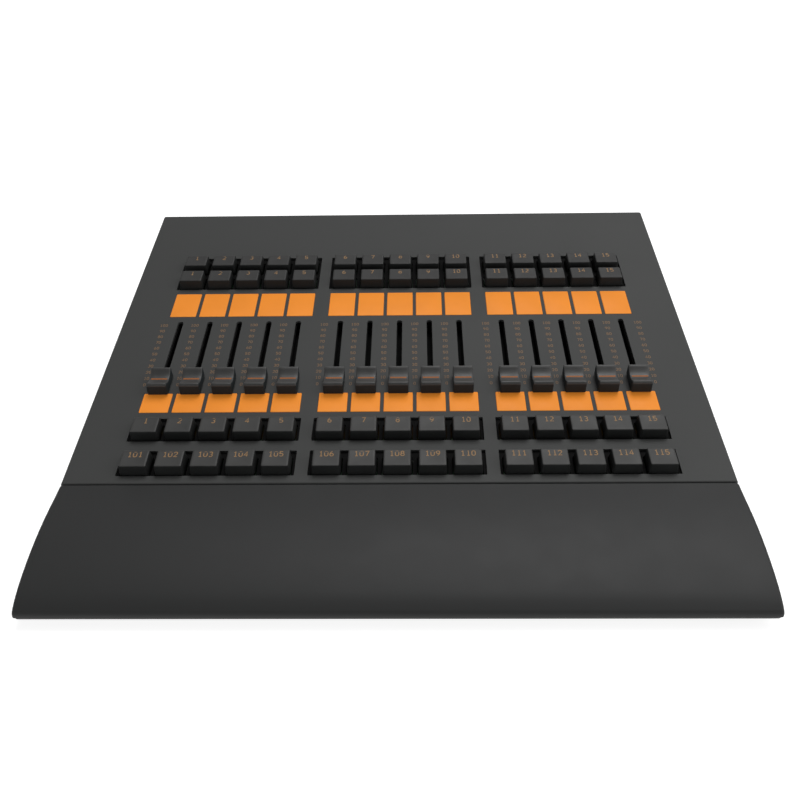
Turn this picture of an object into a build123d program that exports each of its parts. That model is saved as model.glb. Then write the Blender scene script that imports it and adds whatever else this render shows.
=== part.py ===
from build123d import *
import os
from math import atan2, cos, degrees, radians, sin

# Fifteen-fader lighting control desk: a sloping steel control panel with a padded-looking palm rest in front,
# three groups of five channels, each channel with a 60 mm fader, two label windows and four keys.
# Frame: +X to the operator's right, +Y to the rear, +Z up. Origin on the surface the feet stand on, under the
# middle of the desk. Millimetres throughout.

os.makedirs("parts", exist_ok=True)

# ---------------------------------------------------------------- driving dimensions
WIDTH = 377.0  # across the whole desk
TILT = 9.0  # slope of the control panel
PANEL_DEPTH = 284.5  # control panel, measured up its slope
DEPTH = 364.0  # nose of the palm rest to the rear face
SEAM_Z = 24.0  # height of the joint between panel and palm rest
FOOT_H = 6.0
SHEET = 1.6  # steel cover
BASE_T = 1.5  # base plate
SEAM_GAP = 0.5  # between palm rest and cover

PITCH = 20.0  # channel to channel
GROUP_PITCH = 108.5  # middle of one group of five to the next
GROUPS = 3
PER_GROUP = 5

FADER_TRAVEL = 60.0
FADER_V = 81.5  # knob centre at the bottom of its travel
SLOT_V0, SLOT_V1, SLOT_W = 76.2, 147.0, 3.7
KNOB_W, KNOB_L, KNOB_LIP, KNOB_SADDLE, KNOB_FLOAT = 12.3, 18.0, 9.0, 6.1, 1.2

KEY_ROWS = {"a": 211.4, "b": 192.4, "c": 41.2, "d": 13.9}  # key centres up the panel
KEY_BASE = (16.8, 14.2)
KEY_TOP = 6.5  # above the panel
KEY_SKIRT = -1.0
KEY_DRAFT = 5.7
KEY_TRAVEL = 2.5
BANK_W = 101.0
APERTURES = ((6.1, 25.4), (33.3, 52.4), (183.9, 223.0))  # one per bank of keys

UPPER_WIN = (152.4, 178.5)
LOWER_WIN = (57.5, 74.6)
WIN_W = 17.9

BOARD_N = -11.0  # top of the control board, below the panel surface
BOARD_T = 1.6

# ---------------------------------------------------------------- derived places
C, S = cos(radians(TILT)), sin(radians(TILT))
Y_REAR = DEPTH / 2
Y_FRONT = -DEPTH / 2
SEAM_Y = Y_REAR - PANEL_DEPTH * C
BASE_Z0 = FOOT_H
BASE_Z1 = FOOT_H + BASE_T
HALF = WIDTH / 2
COVER_Z0 = BASE_Z1 + 0.3
REAR_TOP = SEAM_Z + PANEL_DEPTH * S


def panel(n, u=0.0, v=0.0):
    """A plane parallel to the control panel, n above it, with its x across and its y up the slope."""
    return Plane(
        origin=(u, SEAM_Y + v * C - n * S, SEAM_Z + v * S + n * C),
        x_dir=(1, 0, 0),
        z_dir=(0, -S, C),
    )


def side(x):
    """A plane across the desk at x, with its x to the rear and its y up."""
    return Plane(origin=(x, 0, 0), x_dir=(0, 1, 0), z_dir=(1, 0, 0))


def yz(v, n):
    """A point of the panel's own slope frame as (y, z)."""
    return (SEAM_Y + v * C - n * S, SEAM_Z + v * S + n * C)


def v_n(point):
    """How far up the panel and how far above it a point is."""
    dy, dz = point.Y - SEAM_Y, point.Z - SEAM_Z
    return dy * C + dz * S, -dy * S + dz * C


CHANNELS = [
    (g - (GROUPS - 1) / 2) * GROUP_PITCH + (k - (PER_GROUP - 1) / 2) * PITCH
    for g in range(GROUPS)
    for k in range(PER_GROUP)
]
GROUP_U = [(g - (GROUPS - 1) / 2) * GROUP_PITCH for g in range(GROUPS)]
PILLARS = [(u, v) for u in (-168.0, -54.25, 54.25, 168.0) for v in (29.35, 66.0, 165.0, 230.0)]
SIDE_SCREWS_Y = (-70.0, 40.0, 150.0)
SIDE_SCREW_Z = 15.0
BASE_SCREWS = [(-150.0, -128.0), (-50.0, -128.0), (50.0, -128.0), (150.0, -128.0)]
FEET = [(-160.0, -158.0), (160.0, -158.0), (-160.0, 158.0), (160.0, 158.0), (-160.0, 0.0), (160.0, 0.0)]

# rear face layout, seen in x and z
INLET_X, INLET_Z = 130.0, 34.0
SWITCH_X, SWITCH_Z = 92.0, 34.0
DATA_X, DATA_Z = -128.0, 31.0
REAR_Y1 = Y_REAR - SHEET - 0.3  # outer face of the rear panel
REAR_Y0 = REAR_Y1 - SHEET


def rear(y):
    """A plane facing the rear at y, with its x along -X and its y up."""
    return Plane(origin=(0, y, 0), x_dir=(-1, 0, 0), z_dir=(0, 1, 0))


# ---------------------------------------------------------------- top cover: folded steel, panel and side walls
COVER_Y0 = SEAM_Y + SEAM_GAP / 2
LIP = 8.0
with BuildPart() as top_cover:
    with BuildSketch(side(-HALF)):
        with BuildLine():
            Polyline(
                (COVER_Y0, COVER_Z0),
                (COVER_Y0, SEAM_Z + SEAM_GAP / 2 * S),
                yz(PANEL_DEPTH, 0),
                (Y_REAR, COVER_Z0),
                close=True,
            )
        make_face()
    extrude(amount=WIDTH)
    slope_edges = top_cover.edges().filter_by(
        lambda e: abs(v_n(e.center())[1]) < 0.2 and abs(abs(e.center().X) - HALF) < 0.1
    )
    rear_edge = top_cover.edges().filter_by(Axis.X).filter_by(
        lambda e: e.center().Y > Y_REAR - 0.1 and e.center().Z > SEAM_Z
    )
    rear_corners = top_cover.edges().filter_by(Axis.Z).filter_by(
        lambda e: e.center().Y > Y_REAR - 0.1
    )
    fillet(slope_edges + rear_edge + rear_corners, radius=1.8)
    front_edge = top_cover.edges().filter_by(Axis.X).filter_by(
        lambda e: e.center().Y < COVER_Y0 + 0.1 and e.center().Z > COVER_Z0 + 5
    )
    fillet(front_edge, radius=1.1)
    # the hollow under the sheet
    with BuildSketch(side(-HALF + SHEET)):
        with BuildLine():
            Polyline(
                (COVER_Y0 + SHEET, COVER_Z0 - 5),
                yz(SHEET + 0.3, -SHEET),
                yz(PANEL_DEPTH - SHEET - 0.25, -SHEET),
                (Y_REAR - SHEET, COVER_Z0 - 5),
                close=True,
            )
        make_face()
    extrude(amount=WIDTH - 2 * SHEET, mode=Mode.SUBTRACT)
    # open below the front lip, and behind, where the rear panel stands
    with BuildSketch(side(-HALF + SHEET)):
        with BuildLine():
            Polyline(
                (COVER_Y0 - 2, COVER_Z0 - 5),
                (COVER_Y0 - 2, SEAM_Z - LIP),
                (COVER_Y0 + SHEET + 2, SEAM_Z - LIP),
                (COVER_Y0 + SHEET + 2, COVER_Z0 - 5),
                close=True,
            )
        make_face()
    extrude(amount=WIDTH - 2 * SHEET, mode=Mode.SUBTRACT)
    with BuildSketch(rear(Y_REAR - SHEET - 1)):
        with Locations((0, (REAR_TOP - 8.5) / 2)):
            Rectangle(WIDTH - 16, REAR_TOP - 8.5)
    extrude(amount=SHEET + 3, mode=Mode.SUBTRACT)
    # apertures for the key banks
    with BuildSketch(panel(-4)):
        for u in GROUP_U:
            for v0, v1 in APERTURES:
                with Locations((u, (v0 + v1) / 2)):
                    RectangleRounded(BANK_W, v1 - v0, 0.6)
    extrude(amount=6, mode=Mode.SUBTRACT)
    # label windows
    with BuildSketch(panel(-4)):
        for u in CHANNELS:
            for v0, v1 in (UPPER_WIN, LOWER_WIN):
                with Locations((u, (v0 + v1) / 2)):
                    RectangleRounded(WIN_W, v1 - v0, 0.5)
    extrude(amount=6, mode=Mode.SUBTRACT)
    # fader slots
    with BuildSketch(panel(-4)):
        for u in CHANNELS:
            with Locations((u, (SLOT_V0 + SLOT_V1) / 2)):
                SlotOverall(SLOT_V1 - SLOT_V0, SLOT_W, rotation=90)
    extrude(amount=6, mode=Mode.SUBTRACT)
    # countersunk holes for the side screws
    for x in (-HALF, HALF):
        for y in SIDE_SCREWS_Y:
            with Locations(
                Plane(
                    origin=(x, y, SIDE_SCREW_Z),
                    x_dir=(0, 1, 0),
                    z_dir=(1 if x > 0 else -1, 0, 0),
                )
            ):
                CounterSinkHole(radius=1.7, counter_sink_radius=3.0, depth=4, counter_sink_angle=90)
top_cover.part.label = "top_cover"
export_step(top_cover.part, "parts/top_cover.step")

# ---------------------------------------------------------------- palm rest: moulded shell with a low crown
PALM_TOP = [(-10, 1.15), (-21, 2.65), (-32, 3.75), (-45, 4.3), (-58, 4.05), (-66, 3.45), (-73, 2.5), (-78.5, 1.25), (-82.4, -0.2)]
PALM_Y1 = SEAM_Y - SEAM_GAP / 2
PALM_WALL = 3.0
PALM_Z0 = BASE_Z1
with BuildPart() as palm_rest:
    with BuildSketch(side(-HALF)):
        with BuildLine():
            crown = Spline(*[yz(0, 0)] + [yz(v, n) for v, n in PALM_TOP])
            fall = atan2(-(crown % 1).Y, -(crown % 1).X)
            nose = JernArc(
                start=crown @ 1,
                tangent=crown % 1,
                radius=((crown @ 1).X - Y_FRONT) / (1 - sin(fall)),
                arc_size=90 - degrees(fall),
            )
            drop = Line(nose @ 1, ((nose @ 1).X, PALM_Z0))
            floor = Line(drop @ 1, ((crown @ 0).X, PALM_Z0))
            Line(floor @ 1, crown @ 0)
        make_face()
    extrude(amount=WIDTH)
    # trim to the seam gap
    with BuildSketch(side(-HALF - 1)):
        with Locations((PALM_Y1 + 5, 30)):
            Rectangle(10, 80)
    extrude(amount=WIDTH + 2, mode=Mode.SUBTRACT)
    seam_edge = palm_rest.edges().filter_by(
        lambda e: e.center().Y > PALM_Y1 - 0.1 and e.center().Z > SEAM_Z - 5 and e.length > WIDTH - 1
    )
    fillet(seam_edge, radius=0.9)
    outline = palm_rest.edges().filter_by(
        lambda e: abs(abs(e.center().X) - HALF) < 0.05
        and e.center().Z > PALM_Z0 + 1.5
        and e.center().Y < PALM_Y1 - 1.0
    )
    fillet(outline, radius=1.8)
    # hollow underneath
    with BuildSketch(side(-HALF + PALM_WALL)):
        with BuildLine():
            Polyline(
                (PALM_Y1 - PALM_WALL, PALM_Z0 - 5),
                yz(-PALM_WALL - 0.6, -PALM_WALL),
                yz(-21, 2.65 - PALM_WALL),
                yz(-32, 3.75 - PALM_WALL),
                yz(-45, 4.3 - PALM_WALL),
                yz(-58, 4.05 - PALM_WALL),
                yz(-66, 3.45 - PALM_WALL),
                yz(-73, 2.4 - PALM_WALL),
                yz(-78.5, 0.9 - PALM_WALL),
                (Y_FRONT + PALM_WALL + 0.4, PALM_Z0 - 5),
                close=True,
            )
        make_face()
    extrude(amount=WIDTH - 2 * PALM_WALL, mode=Mode.SUBTRACT)
    # screw bosses up to the crown
    with BuildSketch(Plane.XY.offset(PALM_Z0)):
        with Locations(*[(x, y) for x, y in BASE_SCREWS]):
            Circle(4.0)
    extrude(amount=SEAM_Z - 10.3)
    with BuildSketch(Plane.XY.offset(PALM_Z0)):
        with Locations(*[(x, y) for x, y in BASE_SCREWS]):
            Circle(1.6)
    extrude(amount=8.0, mode=Mode.SUBTRACT)
palm_rest.part.label = "palm_rest"
export_step(palm_rest.part, "parts/palm_rest.step")

# ---------------------------------------------------------------- base plate with upturned side flanges
FLANGE_X = HALF - SHEET - 0.2
with BuildPart() as base_plate:
    with BuildSketch(Plane.XY.offset(BASE_Z0)):
        with Locations((0, (Y_FRONT + 0.7 + Y_REAR - 0.7) / 2)):
            RectangleRounded(WIDTH - 1.4, DEPTH - 1.4, 2.0)
    extrude(amount=BASE_T)
    for x in (-FLANGE_X, FLANGE_X - BASE_T):
        with BuildSketch(Plane.XY.offset(BASE_Z1)):
            with Locations((x + BASE_T / 2, (SEAM_Y + 10 + Y_REAR - 12) / 2)):
                Rectangle(BASE_T, Y_REAR - 12 - SEAM_Y - 10)
        extrude(amount=14.0)
    with BuildSketch(Plane.XY.offset(BASE_Z0)):
        with Locations(*BASE_SCREWS):
            Circle(1.7)
    extrude(amount=BASE_T, mode=Mode.SUBTRACT)
    for x, y in BASE_SCREWS:
        with Locations(Plane(origin=(x, y, BASE_Z0), x_dir=(1, 0, 0), z_dir=(0, 0, -1))):
            CounterSinkHole(radius=1.7, counter_sink_radius=3.0, depth=4, counter_sink_angle=90)
    for x in (-FLANGE_X + BASE_T / 2, FLANGE_X - BASE_T / 2):
        for y in SIDE_SCREWS_Y:
            with Locations(Plane(origin=(x, y, SIDE_SCREW_Z), x_dir=(0, 1, 0), z_dir=(1, 0, 0))):
                Hole(radius=1.65, depth=2)
base_plate.part.label = "base_plate"
export_step(base_plate.part, "parts/base_plate.step")

# ---------------------------------------------------------------- rear panel with connector cut-outs and vents
with BuildPart() as rear_panel:
    with BuildSketch(rear(REAR_Y0)):
        with Locations((0, (BASE_Z1 + REAR_TOP - 3.4) / 2)):
            Rectangle(WIDTH - 2 * SHEET - 1.0, REAR_TOP - 3.4 - BASE_Z1)
        with Locations((-INLET_X, INLET_Z)):
            Rectangle(27.4, 20.2, mode=Mode.SUBTRACT)
        with Locations((-SWITCH_X, SWITCH_Z)):
            Rectangle(13.3, 19.5, mode=Mode.SUBTRACT)
        with Locations((-DATA_X, DATA_Z)):
            Rectangle(15.6, 13.6, mode=Mode.SUBTRACT)
        with Locations((0, 35)):
            with GridLocations(6.0, 0, 17, 1):
                SlotOverall(24.0, 2.6, rotation=90, mode=Mode.SUBTRACT)
    extrude(amount=SHEET)
rear_panel.part.label = "rear_panel"
export_step(rear_panel.part, "parts/rear_panel.step")

# ---------------------------------------------------------------- label windows: stepped lenses, flush in the panel
for name, (v0, v1) in (("upper_label_windows", UPPER_WIN), ("lower_label_windows", LOWER_WIN)):
    with BuildPart() as windows:
        with BuildSketch(panel(-SHEET)):
            for u in CHANNELS:
                with Locations((u, (v0 + v1) / 2)):
                    RectangleRounded(WIN_W - 0.3, v1 - v0 - 0.3, 0.45)
        extrude(amount=SHEET + 0.25)
        top_rim = windows.edges().filter_by(lambda e: abs(v_n(e.center())[1] - 0.25) < 0.01)
        chamfer(top_rim, length=0.2)
        with BuildSketch(panel(-SHEET - 1.4)):
            for u in CHANNELS:
                with Locations((u, (v0 + v1) / 2)):
                    Rectangle(WIN_W + 1.5, v1 - v0 + 1.8)
        extrude(amount=1.4)
    windows.part.label = name
    export_step(windows.part, f"parts/{name}.step")

# ---------------------------------------------------------------- light guides between the board's lamps and the windows
with BuildPart() as label_light_guides:
    for v0, v1 in (UPPER_WIN, LOWER_WIN):
        with BuildSketch(panel(BOARD_N + 0.2)):
            for u in CHANNELS:
                with Locations((u, (v0 + v1) / 2)):
                    RectangleRounded(WIN_W - 0.4, v1 - v0 - 1.2, 1.0)
        extrude(amount=-BOARD_N - 0.2 - SHEET - 1.4 - 0.2)
label_light_guides.part.label = "label_light_guides"
export_step(label_light_guides.part, "parts/label_light_guides.step")

# ---------------------------------------------------------------- key bezels: black guide plates under the apertures
with BuildPart() as key_bezels:
    for v0, v1 in APERTURES:
        rows = [v for v in KEY_ROWS.values() if v0 < v < v1]
        with BuildSketch(panel(-SHEET - 1.6)):
            for g in GROUP_U:
                with Locations((g, (v0 + v1) / 2)):
                    RectangleRounded(BANK_W + 3.0, v1 - v0 + 3.0, 1.2)
                for k in range(PER_GROUP):
                    for v in rows:
                        with Locations((g + (k - 2) * PITCH, v)):
                            RectangleRounded(
                                KEY_BASE[0] + 0.8, KEY_BASE[1] + 0.8, 1.6, mode=Mode.SUBTRACT
                            )
        extrude(amount=1.6)
key_bezels.part.label = "key_bezels"
export_step(key_bezels.part, "parts/key_bezels.step")

# ---------------------------------------------------------------- key switches on the board, one under each key
STEM_R = 1.9
SWITCH_TOP = -4.6
with BuildPart() as key_switches:
    for v in KEY_ROWS.values():
        with BuildSketch(panel(BOARD_N)):
            for u in CHANNELS:
                with Locations((u, v)):
                    RectangleRounded(12.0, 12.0, 0.8)
        extrude(amount=SWITCH_TOP - BOARD_N)
        with BuildSketch(panel(SWITCH_TOP - 4.6)):
            for u in CHANNELS:
                with Locations((u, v)):
                    Circle(STEM_R + 0.35)
        extrude(amount=6, mode=Mode.SUBTRACT)
key_switches.part.label = "key_switches"
export_step(key_switches.part, "parts/key_switches.step")

# ---------------------------------------------------------------- keys: drafted caps with a dished top and a stem
INNER = 1.5  # cap wall


key_nodes = []
for row, v in KEY_ROWS.items():
    for g in range(GROUPS):
        members = [CHANNELS[g * PER_GROUP + k] for k in range(PER_GROUP)]
        if row == "c":
            # the flash keys under the faders: one node and one joint each
            key_nodes += [
                (f"flash_key_{g * PER_GROUP + k + 1:02d}", [u], v) for k, u in enumerate(members)
            ]
        else:
            name = {"a": "upper_rear", "b": "lower_rear", "d": "front"}[row]
            key_nodes.append((f"{name}_keys_{'left middle right'.split()[g]}", members, v))

for name, members, v in key_nodes:
    with BuildPart() as key:
        for u in members:
            with BuildSketch(panel(KEY_SKIRT, u, v)):
                RectangleRounded(KEY_BASE[0], KEY_BASE[1], 1.6)
            extrude(amount=KEY_TOP - KEY_SKIRT, taper=KEY_DRAFT)
        crowns = key.edges().filter_by(lambda e: abs(v_n(e.center())[1] - KEY_TOP) < 0.05)
        fillet(crowns, radius=0.5)
        for u in members:
            # the hollow under the cap, then the stem down to its switch
            with BuildSketch(panel(KEY_SKIRT, u, v)):
                Rectangle(KEY_BASE[0] - 2 * INNER, KEY_BASE[1] - 2 * INNER)
            extrude(amount=4.6, taper=KEY_DRAFT, mode=Mode.SUBTRACT)
            with BuildSketch(panel(SWITCH_TOP - 1.4, u, v)):
                Circle(STEM_R)
            extrude(amount=4.6 + KEY_SKIRT - SWITCH_TOP + 1.4 + 0.4)
    key.part.label = name
    export_step(key.part, f"parts/{name}.step")

# ---------------------------------------------------------------- fader tracks: the slide-control bodies on the board
TRACK_V0, TRACK_V1 = SLOT_V0 + 0.3, 150.6
TRACK_TOP = -2.4
CARRIAGE_N0, CARRIAGE_N1 = -9.0, -4.8
with BuildPart() as fader_tracks:
    with BuildSketch(panel(BOARD_N)):
        for u in CHANNELS:
            with Locations((u, (TRACK_V0 + TRACK_V1) / 2)):
                RectangleRounded(9.0, TRACK_V1 - TRACK_V0, 0.8)
    extrude(amount=TRACK_TOP - BOARD_N)
    with BuildSketch(panel(CARRIAGE_N0 - 0.5)):
        for u in CHANNELS:
            with Locations((u, (TRACK_V0 + 1.4 + 149.0) / 2)):
                Rectangle(6.8, 149.0 - TRACK_V0 - 1.4)
    extrude(amount=CARRIAGE_N1 - CARRIAGE_N0 + 1.0, mode=Mode.SUBTRACT)
    with BuildSketch(panel(CARRIAGE_N1)):
        for u in CHANNELS:
            with Locations((u, (TRACK_V0 + 1.4 + 147.0) / 2)):
                Rectangle(2.6, 147.0 - TRACK_V0 - 1.4)
    extrude(amount=4, mode=Mode.SUBTRACT)
fader_tracks.part.label = "fader_tracks"
export_step(fader_tracks.part, "parts/fader_tracks.step")

# ---------------------------------------------------------------- faders: knob, lever and carriage, at the bottom stop
BLADE = (1.2, 4.4)
for i, u in enumerate(CHANNELS):
    with BuildPart() as fader:
        # knob: a block with a saddle between two raised lips
        with BuildSketch(
            Plane(
                origin=panel(0, u - KNOB_W / 2, FADER_V).origin,
                x_dir=(0, C, S),
                z_dir=(1, 0, 0),
            )
        ):
            with BuildLine():
                h = KNOB_L / 2
                front = Line((-h, KNOB_FLOAT), (-h + 0.9, KNOB_LIP - 0.2))
                lip_a = Line(front @ 1, (-h + 2.1, KNOB_LIP))
                saddle = ThreePointArc(lip_a @ 1, (0, KNOB_SADDLE), (h - 2.1, KNOB_LIP))
                lip_b = Line(saddle @ 1, (h - 0.9, KNOB_LIP - 0.2))
                back = Line(lip_b @ 1, (h, KNOB_FLOAT))
                Line(back @ 1, front @ 0)
            make_face()
        extrude(amount=KNOB_W)
        outer = fader.edges().filter_by(
            lambda e: v_n(e.center())[1] > KNOB_FLOAT + 0.3
        )
        fillet(outer, radius=0.55)
        with BuildSketch(panel(KNOB_FLOAT, u, FADER_V)):
            Rectangle(KNOB_W - 2.8, KNOB_L - 4.2)
            Rectangle(4.0, 7.4, mode=Mode.SUBTRACT)
        extrude(amount=2.9, mode=Mode.SUBTRACT)
        with BuildSketch(panel(KNOB_FLOAT, u, FADER_V)):
            Rectangle(BLADE[0] + 0.12, BLADE[1] + 0.12)
        extrude(amount=3.2, mode=Mode.SUBTRACT)
        # lever blade and carriage, a separate steel piece pushed into the knob
        with BuildSketch(panel(CARRIAGE_N0, u, FADER_V)):
            Rectangle(6.0, 6.0)
        extrude(amount=CARRIAGE_N1 - CARRIAGE_N0)
        with BuildSketch(panel(CARRIAGE_N1, u, FADER_V)):
            Rectangle(*BLADE)
        extrude(amount=KNOB_FLOAT + 3.1 - CARRIAGE_N1)
    fader.part.label = f"fader_{i + 1:02d}"
    export_step(fader.part, f"parts/fader_{i + 1:02d}.step")

# ---------------------------------------------------------------- control board and its pillars
with BuildPart() as control_board:
    with BuildSketch(panel(BOARD_N - BOARD_T)):
        with Locations((0, 119.0)):
            RectangleRounded(348.0, 230.0, 3.0)
        with Locations(*PILLARS):
            Circle(1.7, mode=Mode.SUBTRACT)
    extrude(amount=BOARD_T)
control_board.part.label = "control_board"
export_step(control_board.part, "parts/control_board.step")

with BuildPart() as board_pillars:
    with BuildSketch(panel(BOARD_N)):
        with Locations(*PILLARS):
            Circle(2.3)
    extrude(amount=-BOARD_N - SHEET)
    with BuildSketch(panel(BOARD_N)):
        with Locations(*PILLARS):
            Circle(1.5)
    extrude(amount=5.0, mode=Mode.SUBTRACT)
board_pillars.part.label = "board_pillars"
export_step(board_pillars.part, "parts/board_pillars.step")

# ---------------------------------------------------------------- main board with its parts, on legs of its own
MAIN_X, MAIN_Y, MAIN_Z = -95.0, 108.0, 14.0
with BuildPart() as main_board:
    with BuildSketch(Plane.XY.offset(MAIN_Z)):
        with Locations((MAIN_X, MAIN_Y)):
            RectangleRounded(140.0, 100.0, 3.0)
    extrude(amount=1.6)
    with BuildSketch(Plane.XY.offset(BASE_Z1)):
        with Locations((MAIN_X, MAIN_Y)):
            with GridLocations(130, 90, 2, 2):
                Circle(3.0)
    extrude(amount=MAIN_Z - BASE_Z1)
    with BuildSketch(Plane.XY.offset(MAIN_Z + 1.6)):
        with Locations((MAIN_X, MAIN_Y)):
            Rectangle(24, 24)
        with Locations((MAIN_X + 38, MAIN_Y - 8), (MAIN_X - 38, MAIN_Y - 8)):
            Rectangle(14, 22)
        with Locations((MAIN_X, MAIN_Y - 38)):
            Rectangle(44, 8)
    extrude(amount=2.4)
main_board.part.label = "main_board"
export_step(main_board.part, "parts/main_board.step")

# ---------------------------------------------------------------- power supply: a closed steel can on the base plate
with BuildPart() as power_supply:
    with BuildSketch(Plane.XY.offset(BASE_Z1)):
        with Locations((70.0, 84.0)):
            RectangleRounded(120.0, 76.0, 2.0)
    extrude(amount=25.0)
    lid = power_supply.faces().sort_by(Axis.Z)[-1]
    fillet(lid.edges(), radius=1.2)
    with BuildSketch(Plane.XY.offset(BASE_Z1 + 23.8)):
        with Locations((70.0, 84.0)):
            with GridLocations(8.0, 40.0, 10, 1):
                SlotOverall(40.0, 3.0, rotation=90)
    extrude(amount=2.0, mode=Mode.SUBTRACT)
power_supply.part.label = "power_supply"
export_step(power_supply.part, "parts/power_supply.step")

# ---------------------------------------------------------------- ribbon cable from the main board to the control board
CABLE_W = 32.0
LOW = (MAIN_Y - 38.0, MAIN_Z + 1.6 + 2.4)
HIGH = yz(150.0, BOARD_N - BOARD_T)
with BuildPart() as ribbon_cable:
    with BuildSketch(side(MAIN_X - CABLE_W / 2)):
        with BuildLine():
            Polyline(
                (LOW[0] - 2.0, LOW[1]),
                (LOW[0] + 2.0, LOW[1]),
                (LOW[0] + 2.0, LOW[1] + 4.0),
                (HIGH[0] + 0.0, HIGH[1] - 3.0),
                (HIGH[0] + 0.0, HIGH[1]),
                (HIGH[0] - 4.0, HIGH[1] - 4.0 * S / C),
                (HIGH[0] - 4.0, HIGH[1] - 4.6),
                (LOW[0] - 2.0, LOW[1] + 5.2),
                close=True,
            )
        make_face()
    extrude(amount=CABLE_W)
ribbon_cable.part.label = "ribbon_cable"
export_step(ribbon_cable.part, "parts/ribbon_cable.step")

# ---------------------------------------------------------------- mains inlet: flanged body, open cavity, three blades
INLET_FACE = REAR_Y1 + 1.6
with BuildPart() as mains_inlet:
    with BuildSketch(rear(REAR_Y1)):
        with Locations((-INLET_X, INLET_Z)):
            RectangleRounded(31.0, 24.0, 2.0)
    extrude(amount=1.6)
    with BuildSketch(rear(REAR_Y1)):
        with Locations((-INLET_X, INLET_Z)):
            Rectangle(27.0, 19.8)
    extrude(amount=-18.0)
    with BuildSketch(rear(INLET_FACE)):
        with BuildLine():
            Polyline(
                (-INLET_X - 12.2, INLET_Z - 8.3),
                (-INLET_X + 12.2, INLET_Z - 8.3),
                (-INLET_X + 12.2, INLET_Z + 3.8),
                (-INLET_X + 7.7, INLET_Z + 8.3),
                (-INLET_X - 7.7, INLET_Z + 8.3),
                (-INLET_X - 12.2, INLET_Z + 3.8),
                close=True,
            )
        make_face()
    extrude(amount=-17.0, mode=Mode.SUBTRACT)
    with BuildSketch(rear(REAR_Y1 - 16.5)):
        with Locations((-INLET_X, INLET_Z + 3.2)):
            Rectangle(2.0, 4.0)
        with Locations((-INLET_X - 7.0, INLET_Z - 0.8), (-INLET_X + 7.0, INLET_Z - 0.8)):
            Rectangle(2.0, 4.0)
    extrude(amount=12.0)
    with BuildSketch(rear(REAR_Y1 - 18.0)):
        with Locations((-INLET_X, INLET_Z + 3.2)):
            Rectangle(0.8, 6.3)
        with Locations((-INLET_X - 7.0, INLET_Z - 0.8), (-INLET_X + 7.0, INLET_Z - 0.8)):
            Rectangle(0.8, 6.3)
    extrude(amount=-7.0)
mains_inlet.part.label = "mains_inlet"
export_step(mains_inlet.part, "parts/mains_inlet.step")

# ---------------------------------------------------------------- power switch: housing, and a rocker on a pin through it
ROCK = 7.0  # the rocker rests this far to one side and swings twice as far
PIVOT_Y = REAR_Y1 - 3.0
with BuildPart() as power_switch_housing:
    with BuildSketch(rear(REAR_Y1)):
        with Locations((-SWITCH_X, SWITCH_Z)):
            RectangleRounded(15.4, 21.4, 1.2)
    extrude(amount=1.5)
    with BuildSketch(rear(REAR_Y1)):
        with Locations((-SWITCH_X, SWITCH_Z)):
            Rectangle(12.9, 19.1)
    extrude(amount=-13.0)
    with BuildSketch(rear(REAR_Y1 + 1.5)):
        with Locations((-SWITCH_X, SWITCH_Z)):
            Rectangle(9.4, 17.0)
    extrude(amount=-8.5, mode=Mode.SUBTRACT)
    with BuildSketch(Plane(origin=(SWITCH_X - 6.0, PIVOT_Y, SWITCH_Z), x_dir=(0, 1, 0), z_dir=(1, 0, 0))):
        Circle(1.06)
    extrude(amount=12.0, mode=Mode.SUBTRACT)
power_switch_housing.part.label = "power_switch_housing"
export_step(power_switch_housing.part, "parts/power_switch_housing.step")

with BuildPart() as power_rocker:
    # profile about the pivot, turned to its off position
    with BuildSketch(
        Plane(
            origin=(SWITCH_X - 4.4, PIVOT_Y, SWITCH_Z),
            x_dir=(0, cos(radians(-ROCK)), sin(radians(-ROCK))),
            z_dir=(1, 0, 0),
        )
    ):
        with BuildLine():
            Polyline(
                (-1.9, -6.9),
                (3.9, -7.7),
                (4.5, -7.1),
                (2.9, 0.0),
                (4.5, 7.1),
                (3.9, 7.7),
                (-1.9, 6.9),
                close=True,
            )
        make_face()
    extrude(amount=8.8)
    with BuildSketch(Plane(origin=(SWITCH_X - 5.6, PIVOT_Y, SWITCH_Z), x_dir=(0, 1, 0), z_dir=(1, 0, 0))):
        Circle(1.0)
    extrude(amount=11.2)
power_rocker.part.label = "power_rocker"
export_step(power_rocker.part, "parts/power_rocker.step")

# ---------------------------------------------------------------- data link socket
with BuildPart() as data_socket:
    with BuildSketch(rear(REAR_Y1 + 0.4)):
        with Locations((-DATA_X, DATA_Z)):
            Rectangle(15.2, 13.2)
    extrude(amount=-15.5)
    with BuildSketch(rear(REAR_Y1 + 0.4)):
        with Locations((-DATA_X, DATA_Z + 0.5)):
            Rectangle(11.8, 7.4)
        with Locations((-DATA_X, DATA_Z - 4.2)):
            Rectangle(5.2, 3.0)
    extrude(amount=-12.5, mode=Mode.SUBTRACT)
data_socket.part.label = "data_socket"
export_step(data_socket.part, "parts/data_socket.step")

# ---------------------------------------------------------------- feet and screws
with BuildPart() as rubber_feet:
    with BuildSketch(Plane.XY):
        with Locations(*FEET):
            Circle(8.2)
    extrude(amount=FOOT_H)
    fillet(
        rubber_feet.edges().filter_by(GeomType.CIRCLE).filter_by(lambda e: e.center().Z < 0.1),
        radius=1.2,
    )
rubber_feet.part.label = "rubber_feet"
export_step(rubber_feet.part, "parts/rubber_feet.step")


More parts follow.
